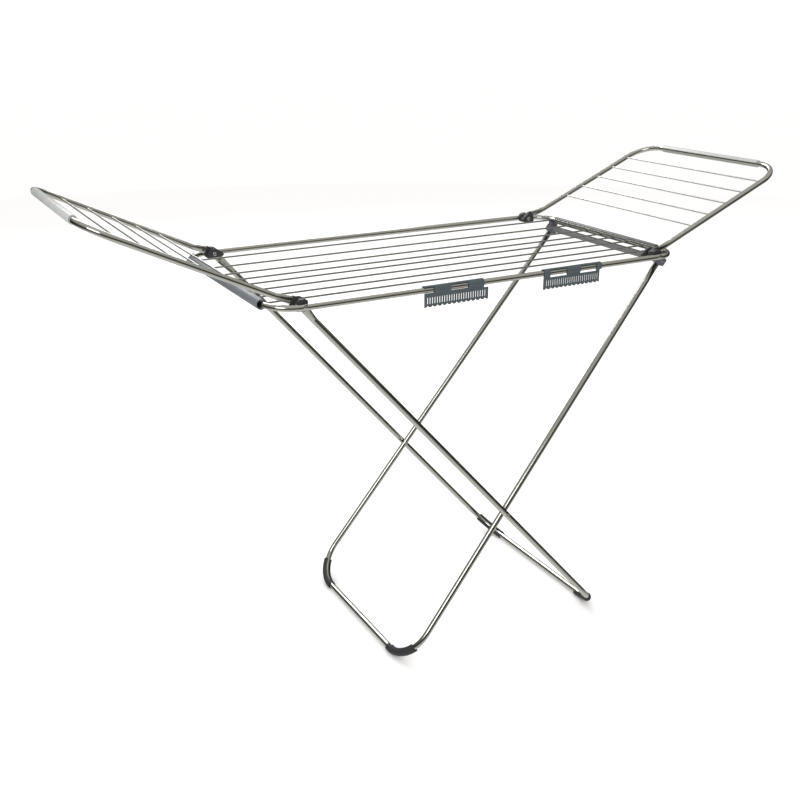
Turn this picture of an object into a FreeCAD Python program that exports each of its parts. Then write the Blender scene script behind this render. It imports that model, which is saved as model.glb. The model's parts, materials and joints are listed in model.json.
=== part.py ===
import FreeCAD
import Part
import math
import os
import Sketcher

# Winged clothes drying rack: a wire-strung tube frame on crossed folding legs,
# with a raised wing hinged at each end and two comb clips on the near rail.
# X runs along the rack, Y across it and Z up from the floor.

doc = FreeCAD.newDocument("DryingRack")
sizes = doc.addObject("Spreadsheet::Sheet", "Sizes")

driving_sizes = {
    # main frame
    "rail_height": 927,
    "frame_half_length": 510,
    "frame_half_width": 275,
    "frame_corner": 60,
    "tube_radius": 6.5,
    "tube_wall": 0.8,
    "joint_gap": 0.4,
    "joint_plug_length": 60,
    "wire_radius": 2,
    "wire_run_in": 1.5,
    # plastic grip on the left end bar and sleeves on the other end bars
    "grip_half_length": 215,
    "grip_radius": 10.8,
    "grip_wall": 2,
    "grip_offset": 4,
    "grip_mouth": 6,
    "sleeve_half_length": 200,
    "sleeve_radius": 9,
    "wing_sleeve_half_length": 172,
    # hinge brackets and their rivets
    "hinge_x": 448.5,
    "hinge_lift": 3,
    "hinge_rivet_radius": 2.5,
    "running_clearance": 0.08,
    "cheek_inner_face": 239.5,
    "slot_inner_face": 244,
    "slot_outer_face": 258.6,
    "outer_cheek_reach": 10,
    "rivet_head_radius": 5,
    "rivet_head_length": 1.8,
    # wings
    "wing_reach": 438.5,
    "wing_half_width": 250,
    "wing_corner": 70,
    "wing_drop": 3,
    "wing_tilt_left": 25.6,
    "wing_tilt_right": 23.3,
    "wing_tongue_y": 254.3,
    "wing_tongue_length": 24,
    "cap_inner_face": 250.5,
    "cap_outer_face": 258.1,
    "cap_radius": 10.2,
    "cap_length": 20,
    "first_wing_wire": 139.5,
    "wing_wire_pitch": 56.4,
    # legs
    "leg_radius": 7,
    "leg_corner": 85,
    "foot_wall": 3.5,
    "foot_bar_run": 4,
    "foot_bend_share": 0.66,
    "inner_foot_x": -206.6,
    "outer_foot_x": 354.5,
    "leg_bar_height": 10,
    "inner_top_x": 510,
    "inner_top_height": 902,
    "inner_half_top": 214,
    "inner_half_bottom": 255.2,
    "outer_half_top": 228,
    "outer_half_bottom": 270.2,
    "outer_tongue_y": 247.2,
    "tongue_half_thickness": 2.8,
    "tongue_half_height": 9.2,
    "spacer_radius": 6,
    "pivot_slack": 0.25,
    # bar across the top of the inner legs, and the saddles that carry the frame
    "top_bar_radius": 8,
    "top_bar_wall": 1.2,
    "saddle_inner_face": 203,
    "saddle_outer_face": 226,
    "saddle_fit": 0.4,
    # comb clips
    "clip_wall": 2.5,
    "clip_bore": 6.6,
    "clip_skirt": 35.5,
    "clip_left_x": -105,
    "clip_right_x": 196,
    "comb_tooth_pitch": 11.7,
    "comb_notch_depth": 4.6,
    "comb_slit_width": 2.8,
    "comb_slit_low": 29,
    "comb_slit_high": 15,
}

main_wire_places = (-209, -160, -106, -53, -6, 50, 122, 208)
wing_wire_count = 5

for row, (alias, size) in enumerate(driving_sizes.items(), start=1):
    sizes.set(f"A{row}", alias)
    sizes.set(f"B{row}", str(size))
    sizes.setAlias(f"B{row}", alias)
doc.recompute()


def size_of(formula):
    """Value of a formula written with the sheet's aliases."""
    found = sizes.evalExpression(formula)
    return float(getattr(found, "Value", found))


def cell(alias):
    return float(sizes.get(alias))


# ---------------------------------------------------------------- geometry
hinge_height = cell("rail_height") + cell("hinge_lift")
inner_run_x = cell("inner_top_x") - cell("inner_foot_x")
inner_run_z = cell("inner_top_height") - cell("leg_bar_height")
inner_length = math.hypot(inner_run_x, inner_run_z)
inner_tilt = 180 - math.degrees(math.atan2(inner_run_z, inner_run_x))
outer_run_x = cell("outer_foot_x") + cell("hinge_x")
outer_run_z = hinge_height - cell("leg_bar_height")
outer_length = math.hypot(outer_run_x, outer_run_z)
outer_tilt = math.degrees(math.atan2(outer_run_z, outer_run_x))

# The side tubes of the two leg frames cross where they are equally high.
inner_slope = inner_run_z / inner_run_x
outer_slope = outer_run_z / outer_run_x
cross_x = (inner_slope * cell("inner_foot_x") + outer_slope * cell("outer_foot_x")) / (
    inner_slope + outer_slope)
cross_z = cell("leg_bar_height") + inner_slope * (cross_x - cell("inner_foot_x"))
inner_cross = inner_length - math.hypot(
    cross_x - cell("inner_foot_x"), cross_z - cell("leg_bar_height"))
outer_cross = outer_length - math.hypot(
    cell("outer_foot_x") - cross_x, cross_z - cell("leg_bar_height"))


def half_width_at(leg, along, length):
    """Distance of a tapering leg's side tube from the middle plane."""
    top, bottom = cell(f"{leg}_half_top"), cell(f"{leg}_half_bottom")
    return top + (bottom - top) * along / length


def placed(x, z, tilt, turn=0):
    """Placement of a flat tube frame: its length tilted down about Y, then turned about Z."""
    return FreeCAD.Placement(FreeCAD.Vector(x, 0, z), FreeCAD.Rotation(turn, tilt, 0))


frame_place = FreeCAD.Placement(
    FreeCAD.Vector(0, 0, cell("rail_height")), FreeCAD.Rotation())
inner_place = placed(cell("inner_top_x"), cell("inner_top_height"), inner_tilt)
outer_place = placed(-cell("hinge_x"), hinge_height, outer_tilt)
wing_places = {
    "left": placed(-cell("hinge_x"), hinge_height, -cell("wing_tilt_left"), 180),
    "right": placed(cell("hinge_x"), hinge_height, -cell("wing_tilt_right")),
}

# ---------------------------------------------------------------- helpers
nodes = []


def keep(piece, label):
    piece.Label = label
    nodes.append(piece)
    return piece


def new_body(label, placement=frame_place):
    body = keep(doc.addObject("PartDesign::Body", label), label)
    body.Placement = placement
    return body


def new_sketch(body, role, level="0"):
    """Sketch on one of the body's own planes, shifted along X, Y or Z to a level."""
    sketch = body.newObject("Sketcher::SketchObject", f"{body.Name}_outline")
    plane = next(item for item in body.Origin.OriginFeatures if item.Role == role)
    sketch.AttachmentSupport = (plane, "")
    sketch.MapMode = "FlatFace"
    sign = "-1" if role == "XZ_Plane" else "1"
    sketch.setExpression("AttachmentOffset.Base.z", f"{sign} * ({level})")
    return sketch


def constrain(sketch, kind, *where, formula):
    index = sketch.addConstraint(Sketcher.Constraint(kind, *where, size_of(formula)))
    sketch.setExpression(f"Constraints[{index}]", formula)


def add_circle(sketch, x, y, radius):
    centre = FreeCAD.Vector(size_of(x), size_of(y), 0)
    circle = Part.Circle(centre, FreeCAD.Vector(0, 0, 1), size_of(radius))
    index = sketch.addGeometry(circle, False)
    constrain(sketch, "Radius", index, formula=radius)
    constrain(sketch, "DistanceX", -1, 1, index, 3, formula=x)
    constrain(sketch, "DistanceY", -1, 1, index, 3, formula=y)


def add_polygon(sketch, corners):
    spots = [FreeCAD.Vector(size_of(x), size_of(y), 0) for x, y in corners]
    first = len(sketch.Geometry)
    count = len(spots)
    for number in range(count):
        line = Part.LineSegment(spots[number], spots[(number + 1) % count])
        sketch.addGeometry(line, False)
    for number, (x, y) in enumerate(corners):
        before = first + (number - 1) % count
        sketch.addConstraint(Sketcher.Constraint("Coincident", before, 2, first + number, 1))
        constrain(sketch, "DistanceX", -1, 1, first + number, 1, formula=x)
        constrain(sketch, "DistanceY", -1, 1, first + number, 1, formula=y)


def add_box(sketch, low_x, high_x, low_y, high_y):
    add_polygon(sketch, [(low_x, low_y), (high_x, low_y), (high_x, high_y), (low_x, high_y)])


def extrude(body, sketch, length, kind="Pad"):
    """Pad or pocket reaching half the length to each side of its sketch."""
    feature = body.newObject(f"PartDesign::{kind}", f"{body.Name}_{kind.lower()}")
    feature.Profile = sketch
    feature.Midplane = True
    feature.setExpression("Length", length)
    return feature


def round_edges(body, feature, along, radius):
    """Fillet the edges of a feature that run along one direction."""
    doc.recompute()
    chosen = []
    for number, edge in enumerate(feature.Shape.Edges, start=1):
        straight = isinstance(edge.Curve, Part.Line)
        if straight and edge.Curve.Direction.cross(along).Length < 1e-6:
            chosen.append(f"Edge{number}")
    fillet = body.newObject("PartDesign::Fillet", f"{body.Name}_rounding")
    fillet.Base = (feature, chosen)
    fillet.Radius = radius
    return fillet


def bend_points(before, corner, after, radius):
    """Start, middle and end of the arc that rounds a corner between two runs."""
    back = (before - corner).normalize()
    onward = (after - corner).normalize()
    half = back.getAngle(onward) / 2
    reach = radius / math.tan(half)
    centre = corner + (back + onward).normalize() * (radius / math.sin(half))
    middle = centre + (corner - centre).normalize() * radius
    return corner + back * reach, middle, corner + onward * reach


def add_path(sketch, corners, bend):
    """Open route of straight runs with tangent arcs in place of its corners."""
    spots = [FreeCAD.Vector(size_of(x), size_of(y), 0) for x, y in corners]
    starts = [spots[0]]
    arcs = []
    for before, corner, after in zip(spots, spots[1:], spots[2:]):
        enter, middle, leave = bend_points(before, corner, after, size_of(bend))
        arcs.append(Part.Arc(enter, middle, leave))
        starts += [enter, leave]
    starts.append(spots[-1])
    pieces = []
    for number in range(len(spots) - 1):
        line = Part.LineSegment(starts[2 * number], starts[2 * number + 1])
        pieces.append(sketch.addGeometry(line, False))
        if number < len(arcs):
            pieces.append(sketch.addGeometry(arcs[number], False))
    return pieces


def add_pipe(body, route, profile, kind="AdditivePipe"):
    pipe = body.newObject(f"PartDesign::{kind}", f"{body.Name}_pipe")
    pipe.Profile = profile
    pipe.Spine = (route, [f"Edge{n + 1}" for n in range(len(route.Geometry))])
    return pipe


# ---------------------------------------------------------------- pressed tubes
def section(centre, along, half_thickness, half_height):
    """Ring across a tube: a circle, or an ellipse where the tube is pressed flat."""
    if half_height > half_thickness:
        ring = Part.Ellipse(FreeCAD.Vector(), half_height, half_thickness)
    else:
        ring = Part.Circle(FreeCAD.Vector(), FreeCAD.Vector(0, 0, 1), half_height)
    wire = Part.Wire(ring.toShape())
    turn = FreeCAD.Rotation(FreeCAD.Vector(0, 0, 1), FreeCAD.Vector(), along, "ZXY")
    wire.Placement = FreeCAD.Placement(centre, turn)
    return wire


def u_route(start, corner, bend):
    """Wire from one side tube round the end bar to the other side tube."""
    end_middle = FreeCAD.Vector(corner.x, 0, corner.z)
    enter, middle, leave = bend_points(start, corner, end_middle, bend)

    def other(point):
        return FreeCAD.Vector(point.x, -point.y, point.z)

    edges = [
        Part.LineSegment(start, enter),
        Part.Arc(enter, middle, leave),
        Part.LineSegment(leave, other(leave)),
        Part.Arc(other(leave), other(middle), other(enter)),
        Part.LineSegment(other(enter), other(start)),
    ]
    return Part.Wire([edge.toShape() for edge in edges])


def u_solid(rings, corner, bend, shrink):
    """Solid U: pressed ends lofted ring to ring, then one sweep round the end bar."""
    along = (corner - rings[-1][0]).normalize()
    solids = []
    for side in (1, -1):
        wires = []
        for centre, half_thickness, half_height in rings:
            spot = FreeCAD.Vector(centre.x, side * centre.y, centre.z)
            heading = FreeCAD.Vector(along.x, side * along.y, along.z)
            square = heading if centre is rings[-1][0] else FreeCAD.Vector(1, 0, 0)
            wires.append(section(spot, square, half_thickness - shrink, half_height - shrink))
        solids.append(Part.makeLoft(wires, True, True))
    start = rings[-1][0]
    route = u_route(start, corner, bend)
    ring = section(start, along, rings[-1][1] - shrink, rings[-1][2] - shrink)
    solids.append(route.makePipeShell([ring], True, False))
    return solids[0].fuse(solids[1:])


eye_lip = 0.2
across_y = FreeCAD.Vector(0, 1, 0)


def pressed_outside(rings, corner, bend):
    """Outer solid of a U tube with pressed ends and round eyes at its tips."""
    outside = u_solid(rings, corner, bend, 0)
    tip, half_thickness, half_height = rings[0]
    for side in (1, -1):
        base = FreeCAD.Vector(tip.x, side * tip.y - half_thickness - eye_lip, tip.z)
        eye = Part.makeCylinder(half_height + eye_lip, 2 * (half_thickness + eye_lip), base, across_y)
        outside = outside.fuse(eye)
    return outside


def drilled(shape, reach, holes):
    """Shape with round holes right across it, each given by its x, z and radius."""
    for x, z, radius in holes:
        base = FreeCAD.Vector(x, -reach, z)
        shape = shape.cut(Part.makeCylinder(radius, 2 * reach, base, across_y))
    return shape


def keep_shape(label, shape, placement):
    piece = keep(doc.addObject("Part::Feature", label), label)
    piece.Shape = shape.removeSplitter()
    piece.Placement = placement


# ---------------------------------------------------------------- main frame
def build_frame_tube():
    body = new_body("frame_tube")
    length, width = "Sizes.frame_half_length", "Sizes.frame_half_width"
    gap = "Sizes.joint_gap / 2"
    route = new_sketch(body, "XY_Plane")
    add_path(route, [
        (f"-{length}", gap),
        (f"-{length}", width),
        (length, width),
        (length, f"-{width}"),
        (f"-{length}", f"-{width}"),
        (f"-{length}", f"-{gap}"),
    ], "Sizes.frame_corner")
    profile = new_sketch(body, "XZ_Plane", gap)
    add_circle(profile, f"-{length}", "0", "Sizes.tube_radius")
    add_circle(profile, f"-{length}", "0", "Sizes.tube_radius - Sizes.tube_wall")
    add_pipe(body, route, profile)
    rivets = new_sketch(body, "XZ_Plane")
    for side in ("", "-"):
        add_circle(rivets, f"{side}Sizes.hinge_x", "Sizes.hinge_lift", "Sizes.hinge_rivet_radius")
    extrude(body, rivets, f"2 * {width} + 40", "Pocket")
    holes = new_sketch(body, "YZ_Plane")
    for place in main_wire_places:
        add_circle(holes, str(place), "0", "Sizes.wire_radius")
    extrude(body, holes, f"2 * {length}", "Pocket")


def build_frame_plug():
    body = new_body("frame_joint_plug")
    profile = new_sketch(body, "XZ_Plane")
    add_circle(profile, "-Sizes.frame_half_length", "0", "Sizes.tube_radius - Sizes.tube_wall")
    extrude(body, profile, "Sizes.joint_plug_length")
    clear = new_sketch(body, "YZ_Plane", "-Sizes.frame_half_length + 5")
    for place in main_wire_places:
        if abs(place) < cell("joint_plug_length") / 2 + cell("wire_radius"):
            add_circle(clear, str(place), "0", "Sizes.wire_radius + 0.3")
    extrude(body, clear, "8", "Pocket")


def build_wire(label, frame, start, length):
    """Straight wire that runs from a start place within a frame or wing."""
    wire = keep(doc.addObject("Part::Cylinder", label), label)
    wire.setExpression("Radius", "Sizes.wire_radius")
    wire.setExpression("Height", length)
    wire.Placement = frame.multiply(start)


def build_main_wires():
    reach = "2 * (Sizes.frame_half_length - Sizes.tube_radius + Sizes.wire_run_in)"
    turn = FreeCAD.Rotation(FreeCAD.Vector(0, 1, 0), 90)
    for number, place in enumerate(main_wire_places, start=1):
        start = FreeCAD.Placement(FreeCAD.Vector(-size_of(reach) / 2, place, 0), turn)
        build_wire(f"main_wire_{number}", frame_place, start, reach)


def build_c_sleeve(label, placement, centre, half_length, radius, bore, mouth):
    """Snap-on sleeve: a ring open towards the middle of the frame it sits on."""
    body = new_body(label, placement)
    ring = new_sketch(body, "XZ_Plane")
    add_circle(ring, centre[0], centre[1], radius)
    add_circle(ring, centre[0], centre[1], bore)
    extrude(body, ring, f"2 * {half_length}")
    opening = new_sketch(body, "XZ_Plane")
    add_polygon(opening, mouth)
    extrude(body, opening, f"2 * {half_length} + 2", "Pocket")
    return body


def build_left_grip():
    centre_x = "-Sizes.frame_half_length - Sizes.grip_offset"
    edge = f"{centre_x} + Sizes.grip_radius + 1"
    mouth_x = f"{centre_x} + Sizes.grip_mouth"
    mouth = [(mouth_x, "-20"), (edge, "-20"), (edge, "20"), (mouth_x, "20")]
    bore = "Sizes.grip_radius - Sizes.grip_wall"
    body = build_c_sleeve("left_end_grip", frame_place, (centre_x, "0"),
                          "Sizes.grip_half_length", "Sizes.grip_radius", bore, mouth)
    for side in ("", "-"):
        lip = new_sketch(body, "XZ_Plane")
        near = f"{side}Sizes.tube_radius"
        far = f"{side}(Sizes.tube_radius + 2.4)"
        add_box(lip, "-Sizes.frame_half_length - 4", mouth_x, near, far)
        extrude(body, lip, "2 * Sizes.grip_half_length")


def build_right_sleeve():
    centre = ("Sizes.frame_half_length", "0")
    mouth_x = "Sizes.frame_half_length - 4"
    edge = "Sizes.frame_half_length - 12"
    mouth = [(edge, "-8"), (mouth_x, "-5"), (mouth_x, "5"), (edge, "8")]
    build_c_sleeve("right_end_sleeve", frame_place, centre, "Sizes.sleeve_half_length",
                   "Sizes.sleeve_radius", "Sizes.tube_radius", mouth)


def build_wing_sleeve(side):
    centre = ("Sizes.wing_reach", "-Sizes.wing_drop")
    mouth_x = "Sizes.wing_reach - 4"
    edge = "Sizes.wing_reach - 12"
    low, high = "-Sizes.wing_drop - 5", "-Sizes.wing_drop + 5"
    mouth = [(edge, f"{low} - 3"), (mouth_x, low), (mouth_x, high), (edge, f"{high} + 3")]
    build_c_sleeve(f"{side}_wing_sleeve", wing_places[side], centre,
                   "Sizes.wing_sleeve_half_length", "Sizes.sleeve_radius",
                   "Sizes.tube_radius", mouth)


# ---------------------------------------------------------------- hinges
# Outlines in the XZ plane about the hinge pin; the first counts x inwards, the second outwards.
bracket_outline = [(-17, -3), (-15, -11.5), (7, -11.5), (21, -5.5), (22, -1), (9, 9.5),
                   (3, 12), (-7, 12), (-15, 5)]
slot_outline = [(-30, -20), (10.7, -20), (10.7, -7.4), (30, 1), (30, 30), (-30, 30)]


def build_bracket(end, side):
    """Two-cheek hinge bracket, seated on the inside of a rail."""
    out = 1 if end == "right" else -1
    across = 1 if side == "far" else -1
    body = new_body(f"{end}_{side}_bracket")
    middle = f"{across} * (Sizes.cheek_inner_face + Sizes.frame_half_width - 4) / 2"
    depth = "Sizes.frame_half_width - 4 - Sizes.cheek_inner_face"
    outline = new_sketch(body, "XZ_Plane", middle)
    add_polygon(outline, [
        (f"{out} * (Sizes.hinge_x - ({x}))", f"Sizes.hinge_lift + ({z})")
        for x, z in bracket_outline])
    block = extrude(body, outline, depth)
    round_edges(body, block, FreeCAD.Vector(0, 1, 0), 3)

    slot_middle = f"{across} * (Sizes.slot_inner_face + Sizes.slot_outer_face) / 2"
    slot = new_sketch(body, "XZ_Plane", slot_middle)
    add_polygon(slot, [
        (f"{out} * (Sizes.hinge_x + ({x}))", f"Sizes.hinge_lift + ({z})")
        for x, z in slot_outline])
    extrude(body, slot, "Sizes.slot_outer_face - Sizes.slot_inner_face", "Pocket")
    trim = new_sketch(body, "XZ_Plane", f"{across} * (Sizes.slot_inner_face + 20)")
    add_box(trim, f"{out} * (Sizes.hinge_x - 40)",
            f"{out} * (Sizes.hinge_x - Sizes.outer_cheek_reach)", "-30", "40")
    extrude(body, trim, "40", "Pocket")

    # The seat follows the rail into its corner bend.
    start = f"{out} * (Sizes.hinge_x - 40)"
    corner = f"{out} * Sizes.frame_half_length"
    rail = f"{across} * Sizes.frame_half_width"
    route = new_sketch(body, "XY_Plane")
    add_path(route, [(start, rail), (corner, rail), (corner, "0")], "Sizes.frame_corner")
    seat = new_sketch(body, "YZ_Plane", start)
    add_circle(seat, rail, "0", "Sizes.tube_radius")
    add_pipe(body, route, seat, "SubtractivePipe")
    bore = new_sketch(body, "XZ_Plane", middle)
    add_circle(bore, f"{out} * Sizes.hinge_x", "Sizes.hinge_lift", "Sizes.hinge_rivet_radius")
    extrude(body, bore, f"{depth} + 10", "Pocket")


def build_rivet(label, placement, x, z, inner, outer, across, radius, head, head_length):
    """Rivet along Y from an inner to an outer face, with a low round head on both."""
    body = new_body(label, placement)
    shank = new_sketch(body, "XZ_Plane", f"{across} * ({inner} + {outer}) / 2")
    add_circle(shank, x, z, radius)
    extrude(body, shank, f"{outer} - {inner}")
    for face, way in ((inner, "-"), (outer, "")):
        level = f"{across} * ({face} + {way}{head_length} / 2)"
        cap = new_sketch(body, "XZ_Plane", level)
        add_circle(cap, x, z, head)
        extrude(body, cap, head_length)
    return body


def build_hinge_rivet(end, side):
    out = "" if end == "right" else "-"
    across = 1 if side == "far" else -1
    # The outer head sits on a flat just clear of the rail's crown.
    build_rivet(f"{end}_{side}_hinge_rivet", frame_place, f"{out}Sizes.hinge_x",
                "Sizes.hinge_lift", "Sizes.cheek_inner_face",
                "(Sizes.frame_half_width + Sizes.tube_radius)", across,
                "Sizes.hinge_rivet_radius", "Sizes.rivet_head_radius",
                "Sizes.rivet_head_length")


# ---------------------------------------------------------------- wings
def build_wing(side):
    drop = -cell("wing_drop")
    thin, tall = cell("tongue_half_thickness"), cell("tongue_half_height") - 0.6
    radius = cell("tube_radius")
    half = cell("wing_half_width")
    straight = cell("wing_tongue_length")
    rings = [
        (FreeCAD.Vector(0, cell("wing_tongue_y"), 0), thin, tall),
        (FreeCAD.Vector(straight, cell("wing_tongue_y"), 0), thin, tall),
        (FreeCAD.Vector(straight + 32, half, drop), radius, radius),
        (FreeCAD.Vector(straight + 44, half, drop), radius, radius),
    ]
    corner = FreeCAD.Vector(cell("wing_reach"), half, drop)
    bend = cell("wing_corner")
    outside = pressed_outside(rings, corner, bend)
    pin = (0, 0, cell("hinge_rivet_radius") + cell("running_clearance"))
    reach = "2 * (Sizes.wing_half_width - Sizes.tube_radius + Sizes.wire_run_in)"
    turn = FreeCAD.Rotation(FreeCAD.Vector(1, 0, 0), -90)
    places = [cell("first_wing_wire") + number * cell("wing_wire_pitch")
              for number in range(wing_wire_count)]
    for number, along in enumerate(places, start=1):
        start = FreeCAD.Placement(FreeCAD.Vector(along, -size_of(reach) / 2, drop), turn)
        build_wire(f"{side}_wing_wire_{number}", wing_places[side], start, reach)
    tube = outside.cut(u_solid(rings, corner, bend, cell("tube_wall")))
    tube = drilled(tube, 2 * half, [pin])
    tube = drilled(tube, half, [(along, drop, cell("wire_radius")) for along in places])
    keep_shape(f"{side}_wing_tube", tube, wing_places[side])
    for cap_side in ("near", "far"):
        build_wing_cap(side, cap_side, outside, pin)
    build_wing_sleeve(side)


def build_wing_cap(end, side, tube, pin):
    """Plastic cap moulded round the flat end of a wing tube."""
    # Near and far swap over in the left wing, which is turned round.
    across = 1 if (side == "far") == (end == "right") else -1
    inner, outer = cell("cap_inner_face"), cell("cap_outer_face")
    radius, length = cell("cap_radius"), cell("cap_length")
    low = min(across * inner, across * outer)
    disc = Part.makeCylinder(radius, outer - inner, FreeCAD.Vector(0, low, 0), across_y)
    block = Part.makeBox(length, outer - inner, 2 * radius, FreeCAD.Vector(0, low, -radius))
    cap = drilled(disc.fuse(block).cut(tube), 2 * outer, [pin])
    keep_shape(f"{end}_{side}_wing_cap", cap, wing_places[end])


# ---------------------------------------------------------------- legs
def build_leg(leg, placement, length, cross, tip_ring):
    radius = cell("leg_radius")
    rings = tip_ring + [
        (FreeCAD.Vector(80, half_width_at(leg, 80, length), 0), radius, radius),
    ]
    corner = FreeCAD.Vector(length, half_width_at(leg, length, length), 0)
    pin = cell("hinge_rivet_radius") + cell("running_clearance")
    bend = cell("leg_corner")
    tube = pressed_outside(rings, corner, bend).cut(
        u_solid(rings, corner, bend, cell("tube_wall")))
    tube = drilled(tube, 2 * corner.y, [(0, 0, pin), (cross, 0, pin)])
    keep_shape(f"{leg}_leg_tube", tube, placement)


def build_legs():
    thin, tall = cell("tongue_half_thickness"), cell("tongue_half_height")
    radius = cell("leg_radius")
    inner_top = cell("inner_half_top")
    build_leg("inner", inner_place, inner_length, inner_cross, [
        (FreeCAD.Vector(0, inner_top, 0), thin, tall),
        (FreeCAD.Vector(29, inner_top, 0), thin, tall),
        (FreeCAD.Vector(62, half_width_at("inner", 62, inner_length), 0), radius, radius),
    ])
    tongue = cell("outer_tongue_y")
    build_leg("outer", outer_place, outer_length, outer_cross, [
        (FreeCAD.Vector(0, tongue, 0), thin, tall),
        (FreeCAD.Vector(22, tongue, 0), thin, tall),
        (FreeCAD.Vector(58, half_width_at("outer", 58, outer_length), 0), radius, radius),
    ])


def build_foot(leg, side, placement, length):
    """C-shaped sleeve round a bottom corner, cut flat where it stands on the floor."""
    across = 1 if side == "far" else -1
    radius, wall = cell("leg_radius"), cell("foot_wall")
    corner = FreeCAD.Vector(length, across * half_width_at(leg, length, length), 0)
    up_leg = FreeCAD.Vector(0, across * half_width_at(leg, 0, length), 0)
    bar_middle = FreeCAD.Vector(length, 0, 0)
    enter, middle, leave = bend_points(up_leg, corner, bar_middle, cell("leg_corner"))
    start = leave - FreeCAD.Vector(0, across * cell("foot_bar_run"), 0)
    bend = Part.Arc(leave, middle, enter)
    share = cell("foot_bend_share")

    def along_bend(fraction):
        return bend.value(bend.FirstParameter + fraction * (bend.LastParameter - bend.FirstParameter))

    route = Part.Wire([
        Part.LineSegment(start, leave).toShape(),
        Part.Arc(leave, along_bend(share / 2), along_bend(share)).toShape(),
    ])
    heading = FreeCAD.Vector(0, across, 0)

    def swept(profile):
        return route.makePipeShell([profile], True, False)

    mouth = Part.makePolygon([
        start + FreeCAD.Vector(-x, 0, z)
        for x, z in ((3.4, -5.2), (14, -9), (14, 9), (3.4, 5.2), (3.4, -5.2))])
    shape = swept(section(start, heading, radius + wall, radius + wall))
    shape = shape.cut(swept(section(start, heading, radius, radius)))
    shape = shape.cut(swept(mouth))
    shape.Placement = placement
    floor = Part.makeBox(400, 800, 50, FreeCAD.Vector(-200, -400, -50))
    floor.translate(FreeCAD.Vector(placement.multVec(corner).x, 0, 0))
    piece = keep(doc.addObject("Part::Feature", f"{leg}_{side}_foot"), f"{leg}_{side}_foot")
    piece.Shape = shape.cut(floor)


def build_cross_pivot(side):
    across = 1 if side == "far" else -1
    place = FreeCAD.Placement(FreeCAD.Vector(cross_x, 0, cross_z), FreeCAD.Rotation())
    inner = half_width_at("inner", inner_cross, inner_length)
    outer = half_width_at("outer", outer_cross, outer_length)
    build_rivet(f"cross_rivet_{side}", place, "0", "0",
                f"({inner} - Sizes.leg_radius - Sizes.pivot_slack)",
                f"({outer} + Sizes.leg_radius + Sizes.pivot_slack)", across,
                "Sizes.hinge_rivet_radius", "4.5", "1.6")
    spacer = new_body(f"cross_spacer_{side}", place)
    ring = new_sketch(spacer, "XZ_Plane", f"{across} * {(inner + outer) / 2}")
    add_circle(ring, "0", "0", "Sizes.spacer_radius")
    add_circle(ring, "0", "0", "Sizes.hinge_rivet_radius + Sizes.running_clearance")
    extrude(spacer, ring, f"{outer - inner} - 2 * (Sizes.leg_radius + Sizes.pivot_slack)")


# ---------------------------------------------------------------- top bar
def build_top_bar():
    body = new_body("inner_top_bar", inner_place)
    ring = new_sketch(body, "XZ_Plane")
    add_circle(ring, "0", "0", "Sizes.top_bar_radius")
    add_circle(ring, "0", "0", "Sizes.top_bar_radius - Sizes.top_bar_wall")
    extrude(body, ring, "2 * Sizes.saddle_inner_face")


def build_saddle(side):
    """Block at the end of the top bar: holds the leg's pressed end, carries the end bar."""
    across = 1 if side == "far" else -1
    place = FreeCAD.Placement(
        FreeCAD.Vector(cell("inner_top_x"), 0, cell("inner_top_height")), FreeCAD.Rotation())
    body = new_body(f"inner_{side}_saddle", place)
    inner, outer = "Sizes.saddle_inner_face", "Sizes.saddle_outer_face"
    lean = math.radians(180 - inner_tilt)
    along = (-math.cos(lean), -math.sin(lean))
    square = (math.sin(lean), -math.cos(lean))

    def spot(run, rise):
        return (str(run * along[0] + rise * square[0]), str(run * along[1] + rise * square[1]))

    block = new_sketch(body, "XZ_Plane", f"{across} * ({inner} + {outer}) / 2")
    add_polygon(block, [spot(-8, -11.5), spot(11, -11.5), spot(11, 11.5), spot(-8, 11.5)])
    core = extrude(body, block, f"{outer} - {inner}")
    round_edges(body, core, FreeCAD.Vector(0, 1, 0), 3)
    rise = cell("rail_height") - cell("inner_top_height")
    seat = new_sketch(body, "XZ_Plane", f"{across} * ({inner} + 6)")
    add_polygon(seat, [("-13", "0"), ("9", "0"), ("9", str(rise - 7.5)),
                       ("1", str(rise - 5)), ("-6", str(rise - 3.5)), ("-11", str(rise - 3.5))])
    extrude(body, seat, "12")
    groove = new_sketch(body, "XZ_Plane", f"{across} * ({inner} + 6)")
    add_circle(groove, "0", str(rise), "Sizes.tube_radius + Sizes.saddle_fit")
    extrude(body, groove, "14", "Pocket")
    sweep = new_sketch(body, "XZ_Plane", f"{across} * ({inner} + 6)")
    low = str(rise - cell("tube_radius") - cell("saddle_fit"))
    add_box(sweep, "0", "14", low, str(rise))
    extrude(body, sweep, "14", "Pocket")
    socket = new_sketch(body, "XZ_Plane", f"{across} * Sizes.inner_half_top")
    tall = cell("tongue_half_height") + eye_lip + 0.1
    add_polygon(socket, [spot(-tall, -tall), spot(40, -tall), spot(40, tall), spot(-tall, tall)])
    extrude(body, socket, f"2 * (Sizes.tongue_half_thickness + {eye_lip})", "Pocket")
    bore = new_sketch(body, "XZ_Plane", f"{across} * ({inner} + {outer}) / 2")
    add_circle(bore, "0", "0", "Sizes.hinge_rivet_radius")
    extrude(body, bore, f"{outer} - {inner} + 4", "Pocket")
    build_rivet(f"inner_{side}_top_rivet", place, "0", "0", inner, outer, across,
                "Sizes.hinge_rivet_radius", "4.5", "1.6")


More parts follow.
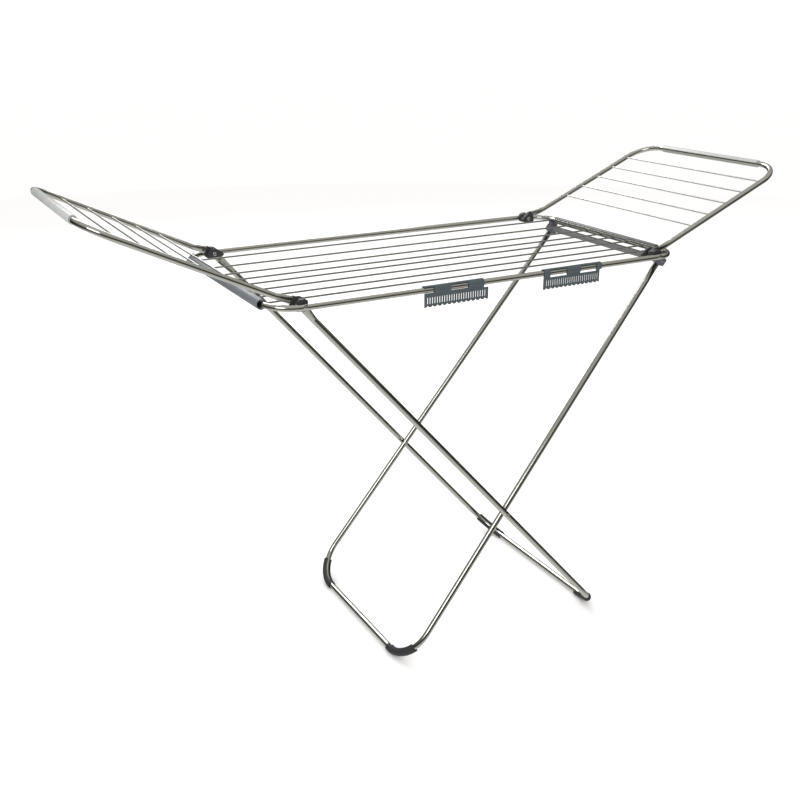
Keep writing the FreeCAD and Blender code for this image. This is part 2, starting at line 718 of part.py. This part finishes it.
# ---------------------------------------------------------------- comb clips
# Ends of the hook and of the toothed plate, and the openings in the front, about a clip's middle.
clip_layouts = {
    "left": {
        "hook": (-77.7, 67), "plate": (-77.7, 78),
        "windows": [
            ((-90, -6), (-55.3, -6), (-55.3, 7), (-90, 7)),
            ((-14.8, -6), (28.2, -6), (28.2, 7), (-14.8, 7)),
            ((67, -10), (90, -10), (90, 12), (67, 12)),
        ],
    },
    "right": {
        "hook": (-77, 80.5), "plate": (-78, 75.5),
        "windows": [
            ((-61.5, -9.6), (-15.5, -9.6), (-15.5, 7), (-61.5, 7)),
            ((20.9, -9.6), (66.7, -9.6), (66.7, 7), (20.9, 7)),
            ((80.7, -5), (74.4, -13.6), (90, -13.6), (90, -5)),
        ],
    },
}
comb_gap_count = 13
notch_outline = [(-3.5, -0.6), (-3.5, 0.06), (-1.9, 0.35), (-0.7, 0.7), (0, 1), (0.7, 0.7),
                 (1.9, 0.35), (3.5, 0.06), (3.5, -0.6)]


def repeat_along_x(body, feature, count, length):
    pattern = body.newObject("PartDesign::LinearPattern", f"{body.Name}_pattern")
    pattern.Originals = [feature]
    axis = next(item for item in body.Origin.OriginFeatures if item.Role == "X_Axis")
    pattern.Direction = (axis, [""])
    pattern.Occurrences = count
    pattern.setExpression("Length", length)
    body.Tip = pattern


def build_clip(end):
    """Comb clip: hooks over the near rail, windows in front of it, a toothed skirt below."""
    layout = clip_layouts[end]
    body = new_body(f"{end}_comb_clip")
    middle = f"Sizes.clip_{end}_x"
    rail = "-Sizes.frame_half_width"
    outer = "Sizes.clip_bore + Sizes.clip_wall"

    low, high = layout["hook"]
    ring = new_sketch(body, "YZ_Plane", f"{middle} + {(low + high) / 2}")
    add_circle(ring, rail, "0", outer)
    extrude(body, ring, str(high - low))
    low, high = layout["plate"]
    skirt = new_sketch(body, "YZ_Plane", f"{middle} + {(low + high) / 2}")
    add_box(skirt, f"{rail} - {outer}", f"{rail} - Sizes.clip_bore", "-Sizes.clip_skirt", "0")
    extrude(body, skirt, str(high - low))
    bore = new_sketch(body, "YZ_Plane", middle)
    add_circle(bore, rail, "0", "Sizes.clip_bore")
    extrude(body, bore, "200", "Pocket")
    mouth = new_sketch(body, "YZ_Plane", middle)
    add_polygon(mouth, [(f"{rail} - 4", "-12"), (f"{rail} + 12", "-12"),
                        (f"{rail} + 12", "-2"), (f"{rail} + 4", "-2"),
                        (f"{rail} - 4", "-5")])
    extrude(body, mouth, "200", "Pocket")

    windows = new_sketch(body, "XZ_Plane", f"{rail} - 8")
    for window in layout["windows"]:
        add_polygon(windows, [(f"{middle} + ({x})", str(z)) for x, z in window])
    extrude(body, windows, "10", "Pocket")

    first = f"{middle} - {(comb_gap_count - 1) / 2} * Sizes.comb_tooth_pitch"
    span = f"{comb_gap_count - 1} * Sizes.comb_tooth_pitch"
    notch = new_sketch(body, "XZ_Plane", f"{rail} - 8")
    add_polygon(notch, [(f"{first} + ({x})", f"-Sizes.clip_skirt + ({z}) * Sizes.comb_notch_depth")
                        for x, z in notch_outline])
    repeat_along_x(body, extrude(body, notch, "10", "Pocket"), comb_gap_count, span)
    slit = new_sketch(body, "XZ_Plane", f"{rail} - 8")
    add_box(slit, f"{first} - Sizes.comb_slit_width / 2", f"{first} + Sizes.comb_slit_width / 2",
            "-Sizes.comb_slit_low", "-Sizes.comb_slit_high")
    repeat_along_x(body, extrude(body, slit, "10", "Pocket"), 2 * comb_gap_count - 1, span)


# ---------------------------------------------------------------- the rack
build_frame_tube()
build_frame_plug()
build_main_wires()
build_left_grip()
build_right_sleeve()
for hinge_end in ("left", "right"):
    for hinge_side in ("near", "far"):
        build_bracket(hinge_end, hinge_side)
        build_hinge_rivet(hinge_end, hinge_side)
for wing_end in ("left", "right"):
    build_wing(wing_end)
build_legs()
for leg_side in ("near", "far"):
    build_foot("inner", leg_side, inner_place, inner_length)
    build_foot("outer", leg_side, outer_place, outer_length)
    build_cross_pivot(leg_side)
    build_saddle(leg_side)
build_top_bar()
for clip_end in ("left", "right"):
    build_clip(clip_end)

doc.recompute()
for item in doc.Objects:
    if "Invalid" in item.State or "Error" in item.State:
        raise RuntimeError(f"{item.Name} failed: {item.State}")
for piece in nodes:
    if piece.Shape.isNull() or not piece.Shape.isValid():
        raise RuntimeError(f"{piece.Label} has no valid shape")

os.makedirs("parts", exist_ok=True)
for piece in nodes:
    piece.Shape.exportStep(f"parts/{piece.Label}.step")
print(len(nodes), "nodes; cross pivot at", round(cross_x, 2), round(cross_z, 2))
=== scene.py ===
import json
import math

import bmesh
import bpy
from mathutils import Euler, Matrix, Vector

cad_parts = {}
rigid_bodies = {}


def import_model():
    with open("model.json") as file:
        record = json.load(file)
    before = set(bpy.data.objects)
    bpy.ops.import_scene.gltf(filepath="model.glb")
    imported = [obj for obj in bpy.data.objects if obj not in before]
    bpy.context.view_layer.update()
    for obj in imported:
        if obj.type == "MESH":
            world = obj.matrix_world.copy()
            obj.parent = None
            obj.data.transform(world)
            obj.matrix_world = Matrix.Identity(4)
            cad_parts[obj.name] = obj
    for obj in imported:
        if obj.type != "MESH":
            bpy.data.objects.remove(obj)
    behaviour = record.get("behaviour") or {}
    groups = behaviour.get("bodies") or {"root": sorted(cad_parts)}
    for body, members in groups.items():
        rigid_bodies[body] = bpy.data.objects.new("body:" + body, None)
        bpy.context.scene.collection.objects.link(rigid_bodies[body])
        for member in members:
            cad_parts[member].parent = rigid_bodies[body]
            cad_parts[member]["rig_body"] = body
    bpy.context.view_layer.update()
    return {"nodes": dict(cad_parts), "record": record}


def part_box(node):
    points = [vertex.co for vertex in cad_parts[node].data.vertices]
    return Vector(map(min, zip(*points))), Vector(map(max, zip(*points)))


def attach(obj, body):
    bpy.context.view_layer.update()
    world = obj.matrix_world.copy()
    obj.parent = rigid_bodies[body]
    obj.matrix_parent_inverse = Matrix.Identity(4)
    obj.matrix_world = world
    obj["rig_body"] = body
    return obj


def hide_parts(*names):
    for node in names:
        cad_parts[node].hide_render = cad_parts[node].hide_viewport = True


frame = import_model()
nodes = frame["nodes"]
print("frame loaded:", len(nodes), "pieces")

mm = 0.001

# Winged clothes drying rack. X runs along it, Y across, Z up from the floor.


# materials: small helpers

def hexColour(code):
    parts = [int(code[i:i + 2], 16) / 255 for i in (1, 3, 5)]
    linear = [c / 12.92 if c <= 0.04045 else ((c + 0.055) / 1.055) ** 2.4 for c in parts]
    return (*linear, 1.0)


def addNode(tree, kind, links=None, **settings):
    node = tree.nodes.new(kind)
    for name, value in settings.items():
        if name in node.bl_rna.properties:
            setattr(node, name, value)
    for socket, value in (links or {}).items():
        if isinstance(value, bpy.types.NodeSocket):
            tree.links.new(value, node.inputs[socket])
        else:
            node.inputs[socket].default_value = value
    return node


def newMaterial(name):
    material = bpy.data.materials.new(name)
    material.use_nodes = True
    tree = material.node_tree
    shader = tree.nodes["Principled BSDF"]
    place = addNode(tree, "ShaderNodeTexCoord").outputs["Object"]
    return material, tree, shader, place


def perMillimetre(size):
    return 1000 / size  # texture scale that makes one cell this many millimetres


steelTube = {
    "light": "#dddcd7", "dark": "#c9c7c0",   # slightly warm grey of bright chromium steel
    "roughness": 0.12, "roughSpread": 0.08,
    "polishWidth": 1.6, "polishLength": 90,  # real polishing lines are 0.1 mm; drawn wide enough to show
    "smudge": 38,                            # size of finger smudges
    "bump": 0.012,
}


def makeSteel(name, tilt, look=steelTube):
    # Stainless steel tube, drawn and belt polished: mirror-like bands along the tube with a fine grain.
    material, tree, shader, place = newMaterial(name)
    turned = addNode(tree, "ShaderNodeMapping", {"Vector": place, "Rotation": (0, tilt, 0)},
                     vector_type="TEXTURE").outputs[0]
    across = perMillimetre(look["polishWidth"])
    grainScale = (perMillimetre(look["polishLength"]), across, across)
    stretched = addNode(tree, "ShaderNodeMapping", {"Vector": turned, "Scale": grainScale}).outputs[0]
    grain = addNode(tree, "ShaderNodeTexNoise", {"Vector": stretched, "Scale": 1.0, "Detail": 3.0})
    smudge = addNode(tree, "ShaderNodeTexNoise",
                     {"Vector": place, "Scale": perMillimetre(look["smudge"]), "Detail": 4.0})
    tint = addNode(tree, "ShaderNodeMix", {"Factor": grain.outputs["Fac"]}, data_type="RGBA")
    tint.inputs["A"].default_value = hexColour(look["dark"])
    tint.inputs["B"].default_value = hexColour(look["light"])
    rough = addNode(tree, "ShaderNodeMath", {0: grain.outputs["Fac"], 1: smudge.outputs["Fac"]},
                    operation="MULTIPLY")
    spread = addNode(tree, "ShaderNodeMapRange", {
        "Value": rough.outputs[0], "From Min": 0.1, "From Max": 0.45,
        "To Min": look["roughness"] - look["roughSpread"] / 2,
        "To Max": look["roughness"] + look["roughSpread"]})
    bump = addNode(tree, "ShaderNodeBump", {
        "Height": grain.outputs["Fac"], "Strength": 0.25, "Distance": look["bump"] * mm})
    tree.links.new(tint.outputs["Result"], shader.inputs["Base Color"])
    tree.links.new(spread.outputs[0], shader.inputs["Roughness"])
    tree.links.new(bump.outputs[0], shader.inputs["Normal"])
    shader.inputs["Metallic"].default_value = 1.0
    return material


mould = {"grit": 0.7, "relief": 0.05, "mottle": 22}  # mm


def makePlastic(name, light, dark, roughness, specular=0.45, look=mould):
    # Moulded thermoplastic with a fine spark-eroded texture from the mould.
    material, tree, shader, place = newMaterial(name)
    cloud = addNode(tree, "ShaderNodeTexNoise",
                    {"Vector": place, "Scale": perMillimetre(look["mottle"]), "Detail": 5.0,
                     "Roughness": 0.6})
    tint = addNode(tree, "ShaderNodeMix", {"Factor": cloud.outputs["Fac"]}, data_type="RGBA")
    tint.inputs["A"].default_value = hexColour(dark)
    tint.inputs["B"].default_value = hexColour(light)
    texture = addNode(tree, "ShaderNodeTexNoise",
                      {"Vector": place, "Scale": perMillimetre(look["grit"]), "Detail": 2.0})
    spread = addNode(tree, "ShaderNodeMapRange", {
        "Value": cloud.outputs["Fac"], "From Min": 0.3, "From Max": 0.7,
        "To Min": roughness - 0.06, "To Max": roughness + 0.06})
    relief = addNode(tree, "ShaderNodeBump", {
        "Height": texture.outputs["Fac"], "Strength": 0.35, "Distance": look["relief"] * mm})
    tree.links.new(tint.outputs["Result"], shader.inputs["Base Color"])
    tree.links.new(spread.outputs[0], shader.inputs["Roughness"])
    tree.links.new(relief.outputs[0], shader.inputs["Normal"])
    shader.inputs["Specular IOR Level"].default_value = specular
    return material


tilt = {"left_wing": math.radians(25.6), "right_wing": math.radians(-23.3),
        "inner_legs": math.radians(-50.5), "outer_legs": math.radians(49.2), "frame": 0.0}
steelFor = {body: makeSteel("polished_stainless_tube_" + body, angle) for body, angle in tilt.items()}
wireLook = {**steelTube, "roughness": 0.36, "polishLength": 40}
# One drawn steel wire in two copies: the darker one, for the main wires and weld beads, is painted
# shade; the lighter one, for the wing wires, is painted light.
shadedWire = makeSteel("main_wire_painted_shade", 0.0, look={
    **wireLook, "light": "#b4b3b1", "dark": "#9b9a98"})
litWingWire = makeSteel("wing_wire_painted_light", 0.0, look={
    **wireLook, "light": "#efefed", "dark": "#dcdcda"})
materialFor = {
    "wire_steel": shadedWire,
    "rivet_steel": makeSteel("zinc_plated_rivet", 0.0, look={
        **steelTube, "light": "#e2e2e0", "dark": "#c4c4c2", "roughness": 0.24, "polishLength": 3}),
    "grip_plastic": makePlastic("slate_grey_extruded_grip", "#747980", "#666b72", 0.36, specular=0.5),
    "end_sleeve_plastic": makePlastic("mid_grey_extruded_sleeve", "#6a6d6e", "#5d6061", 0.42),
    "wing_sleeve_plastic": makePlastic("silver_grey_extruded_sleeve", "#bec2bf", "#b0b4b1", 0.32),
    "bracket_plastic": makePlastic("charcoal_moulded_bracket", "#3a3b3c", "#2a2b2c", 0.44),
    "foot_plastic": makePlastic("charcoal_soft_foot", "#333337", "#2a2a2e", 0.55),
    "saddle_plastic": makePlastic("violet_grey_saddle", "#5f5a6b", "#514c5b", 0.5),
    "clip_plastic": makePlastic("blue_grey_comb_clip", "#4c575d", "#414b50", 0.42),
    "top_bar_plastic": makePlastic("grey_covered_bar", "#6e7071", "#616364", 0.45),
    "fitting_plastic": makePlastic("black_nylon_fitting", "#3a3a3a", "#303030", 0.5),
}
slotOf = {part["node"]: part["material_slot"] for part in frame["record"]["subparts"]}
for name, piece in nodes.items():
    usual = materialFor.get(slotOf[name]) or steelFor[piece["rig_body"]]
    piece.material_slots[0].material = litWingWire if "wing_wire" in name else usual
print("materials:", len(bpy.data.materials))


# moulded and riveted pieces that stand for the plain CAD solids

smoothing = {"crease": 38, "rounded": 34, "flat": 0.6, "merge": 0.01}  # degrees, and mm for merge


def finishPiece(bm, name, body, slotName):
    mesh = bpy.data.meshes.new(name)
    for face in bm.faces:
        face.smooth = True
    for edge in bm.edges:
        edge.smooth = not edge.is_manifold or edge.calc_face_angle(0) < math.radians(smoothing["crease"])
    bm.to_mesh(mesh)
    bm.free()
    leftover = mesh.attributes.get("custom_normal")
    if leftover:
        mesh.attributes.remove(leftover)
    mesh.materials.clear()
    mesh.materials.append(materialFor[slotName])
    piece = bpy.data.objects.new(name, mesh)
    bpy.context.scene.collection.objects.link(piece)
    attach(piece, body)
    return piece


# width of the rounded edge on each kind of moulded piece, in mm
mouldedEdge = {"bracket": 0.9, "wing_cap": 0.9, "saddle": 0.8, "foot": 1.0, "comb_clip": 0.4,
               "sleeve": 0.5, "grip": 0.6, "top_bar": 0.4}


def softenMoulding(node, width):
    bm = bmesh.new()
    bm.from_mesh(nodes[node].data)
    bmesh.ops.remove_doubles(bm, verts=bm.verts, dist=smoothing["merge"] * mm)
    bmesh.ops.dissolve_limit(bm, angle_limit=math.radians(smoothing["flat"]), verts=bm.verts,
                             edges=bm.edges, delimit={"NORMAL"})
    corners = [edge for edge in bm.edges
               if edge.is_manifold and edge.calc_face_angle(0) > math.radians(smoothing["rounded"])]
    bmesh.ops.bevel(bm, geom=corners, offset=width * mm, offset_type="OFFSET", affect="EDGES",
                    segments=3, profile=0.5, material=-1, clamp_overlap=True)
    piece = finishPiece(bm, node + "_moulded", nodes[node]["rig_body"], slotOf[node])
    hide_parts(node)


for node in sorted(nodes):
    for kind, width in mouldedEdge.items():
        if kind in node:
            softenMoulding(node, width)
print("moulded pieces rounded")

rivetHead = {"dimple": 1.5, "dimpleDepth": 0.5, "crown": 2.1, "shank": 2.5, "steps": 40,
             "hingeHead": 1.8, "legHead": 1.6}


def domeRivet(node, headLength, look=rivetHead):
    low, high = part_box(node)
    radius = (high[0] - low[0]) / 2
    middle = Vector(((low[0] + high[0]) / 2, 0, (low[2] + high[2]) / 2))
    head, dimple, crown = headLength * mm, look["dimple"] * mm, look["crown"] * mm
    oneEnd = [(0, look["dimpleDepth"] * mm), (dimple * 0.7, look["dimpleDepth"] * mm * 0.9),
              (dimple, 0.1 * mm), (crown, 0), (radius * 0.72, head * 0.14), (radius * 0.9, head * 0.42),
              (radius, head * 0.8), (radius, head), (look["shank"] * mm, head)]
    bm = bmesh.new()
    verts = [bm.verts.new((r, low[1] + along, 0)) for r, along in oneEnd]
    verts += [bm.verts.new((r, high[1] - along, 0)) for r, along in reversed(oneEnd)]
    edges = [bm.edges.new(pair) for pair in zip(verts, verts[1:])]
    bmesh.ops.spin(bm, geom=verts + edges, cent=(0, 0, 0), axis=(0, 1, 0), angle=math.tau,
                   steps=look["steps"], use_merge=True, use_duplicate=False)
    bmesh.ops.remove_doubles(bm, verts=bm.verts, dist=0.001 * mm)
    bmesh.ops.recalc_face_normals(bm, faces=bm.faces)
    bmesh.ops.translate(bm, verts=bm.verts, vec=middle)
    piece = finishPiece(bm, node + "_domed", nodes[node]["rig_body"], slotOf[node])
    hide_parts(node)


for node in sorted(nodes):
    if "rivet" in node:
        domeRivet(node, rivetHead["hingeHead" if "hinge" in node else "legHead"])
print("rivets domed")

weldBead = {"radius": 3.3, "length": 1.9, "seed": 5, "mainReach": 503.4, "wingReach": 243.4}


def weldWires(name, body, wires, axis, reach, look=weldBead):
    # A small collar of weld metal where each wire enters the tube.
    bm = bmesh.new()
    for number, wire in enumerate(wires):
        low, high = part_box(wire)
        for side in (-1, 1):
            centre = Vector([(a + b) / 2 for a, b in zip(low, high)])
            centre[axis] = side * reach * mm
            swell = 1 + 0.07 * math.sin(look["seed"] + 2.1 * number + side)
            size = [look["radius"] * mm * swell] * 3
            size[axis] = look["length"] * mm
            made = bmesh.ops.create_uvsphere(bm, u_segments=20, v_segments=10, radius=1)["verts"]
            bmesh.ops.scale(bm, verts=made, vec=size)
            bmesh.ops.translate(bm, verts=made, vec=centre)
    finishPiece(bm, name, body, "wire_steel")


weldWires("main_weld_beads", "frame", [f"main_wire_{n}" for n in range(1, 9)], 0,
          weldBead["mainReach"])
for side in ("left", "right"):
    weldWires(side + "_wing_weld_beads", side + "_wing",
              [f"{side}_wing_wire_{n}" for n in range(1, 6)], 1, weldBead["wingReach"])
print("weld beads laid")


# floor, light and camera

studio = {
    "floor": "#fbfaf8", "floorSize": 900,  # metres
    "world": "#ffffff", "worldStrength": 1.06,
}


def makeFloor():
    mesh = bpy.data.meshes.new("studio_floor")
    bm = bmesh.new()
    bmesh.ops.create_grid(bm, x_segments=1, y_segments=1, size=studio["floorSize"] / 2)
    bm.to_mesh(mesh)
    bm.free()
    floor = bpy.data.objects.new("studio_floor", mesh)
    bpy.context.scene.collection.objects.link(floor)
    material, tree, shader, place = newMaterial("matt_studio_paper")
    shader.inputs["Base Color"].default_value = hexColour(studio["floor"])
    shader.inputs["Roughness"].default_value = 0.9
    mesh.materials.append(material)
    floor.visible_glossy = False  # the metal mirrors the painted reflection dome instead


# A sphere that glows though it is no lamp, seen only in reflections: painted reflection that gives the
# metal dark bands near the horizon, pale grey above and pale underneath. Heights run from -1 straight
# below to 1 overhead.
paintedReflectionDome = {
    "radius": 7.0, "centre": 0.75,
    "tones": [(-1.0, "#dcdcd8"), (-0.62, "#c6c6c1"), (-0.40, "#93938d"), (-0.24, "#45453f"),
              (-0.10, "#282826"), (0.12, "#33322e"), (0.27, "#807f77"), (0.42, "#a6a59d"),
              (0.58, "#aeada7"), (0.80, "#b9b8b3"), (0.97, "#c6c5c1")],
}


def makePaintedReflectionDome(look=paintedReflectionDome):
    bm = bmesh.new()
    bmesh.ops.create_uvsphere(bm, u_segments=64, v_segments=32, radius=look["radius"])
    bmesh.ops.translate(bm, verts=bm.verts, vec=(0, 0, look["centre"]))
    bmesh.ops.reverse_faces(bm, faces=bm.faces)
    mesh = bpy.data.meshes.new("painted_reflection_dome")
    bm.to_mesh(mesh)
    bm.free()
    material = bpy.data.materials.new("painted_reflection_glow")
    material.use_nodes = True
    tree = material.node_tree
    tree.nodes.clear()
    place = addNode(tree, "ShaderNodeTexCoord").outputs["Object"]
    height = addNode(tree, "ShaderNodeSeparateXYZ", {"Vector": place}).outputs["Z"]
    share = addNode(tree, "ShaderNodeMapRange", {
        "Value": height, "From Min": look["centre"] - look["radius"],
        "From Max": look["centre"] + look["radius"]}).outputs[0]
    ramp = addNode(tree, "ShaderNodeValToRGB", {"Fac": share})
    stops = ramp.color_ramp.elements
    for stop, (level, code) in ((stops[0], look["tones"][0]), (stops[1], look["tones"][-1])):
        stop.position, stop.color = (level + 1) / 2, hexColour(code)
    for level, code in look["tones"][1:-1]:
        stops.new((level + 1) / 2).color = hexColour(code)
    # This emission is painted reflection: the sphere glows but is no lamp.
    glow = addNode(tree, "ShaderNodeEmission", {"Color": ramp.outputs["Color"], "Strength": 1.0})
    end = addNode(tree, "ShaderNodeOutputMaterial")
    tree.links.new(glow.outputs[0], end.inputs["Surface"])
    mesh.materials.append(material)
    glowDome = bpy.data.objects.new("painted_reflection_dome", mesh)
    bpy.context.scene.collection.objects.link(glowDome)
    glowDome.visible_camera = glowDome.visible_diffuse = glowDome.visible_shadow = False
    glowDome.visible_transmission = glowDome.visible_volume_scatter = False


def addLamp(name, place, target, size, power):
    data = bpy.data.lights.new(name, "AREA")
    data.shape, data.size, data.size_y = "RECTANGLE", size[0], size[1]
    data.energy = power
    lamp = bpy.data.objects.new(name, data)
    lamp.location = place
    lamp.rotation_euler = (Vector(target) - Vector(place)).to_track_quat("-Z", "Y").to_euler()
    bpy.context.scene.collection.objects.link(lamp)


def setWorld():
    world = bpy.data.worlds.new("studio_air")
    bpy.context.scene.world = world
    world.use_nodes = True
    back = world.node_tree.nodes["Background"]
    back.inputs["Color"].default_value = hexColour(studio["world"])
    back.inputs["Strength"].default_value = studio["worldStrength"]


view = {"place": (-1.2160, -2.0518, 1.4686), "turn": 28.85, "down": 20.83, "lens": 46.36}


def addCamera():
    data = bpy.data.cameras.new("camera")
    data.lens, data.sensor_width = view["lens"], 36
    camera = bpy.data.objects.new("camera", data)
    camera.location = view["place"]
    camera.rotation_euler = Euler((math.radians(90 - view["down"]), 0, math.radians(-view["turn"])))
    bpy.context.scene.collection.objects.link(camera)
    bpy.context.scene.camera = camera


makeFloor()
makePaintedReflectionDome()
setWorld()
addLamp("back_softbox", (0.5, 3.4, 3.2), (0, 0, 0.8), (3.4, 1.3), 60)
addLamp("window_side", (-3.2, -1.6, 2.4), (0, 0, 0.7), (2.0, 1.6), 30)
addCamera()
bpy.context.scene.view_settings.view_transform = "Standard"
print("studio ready")
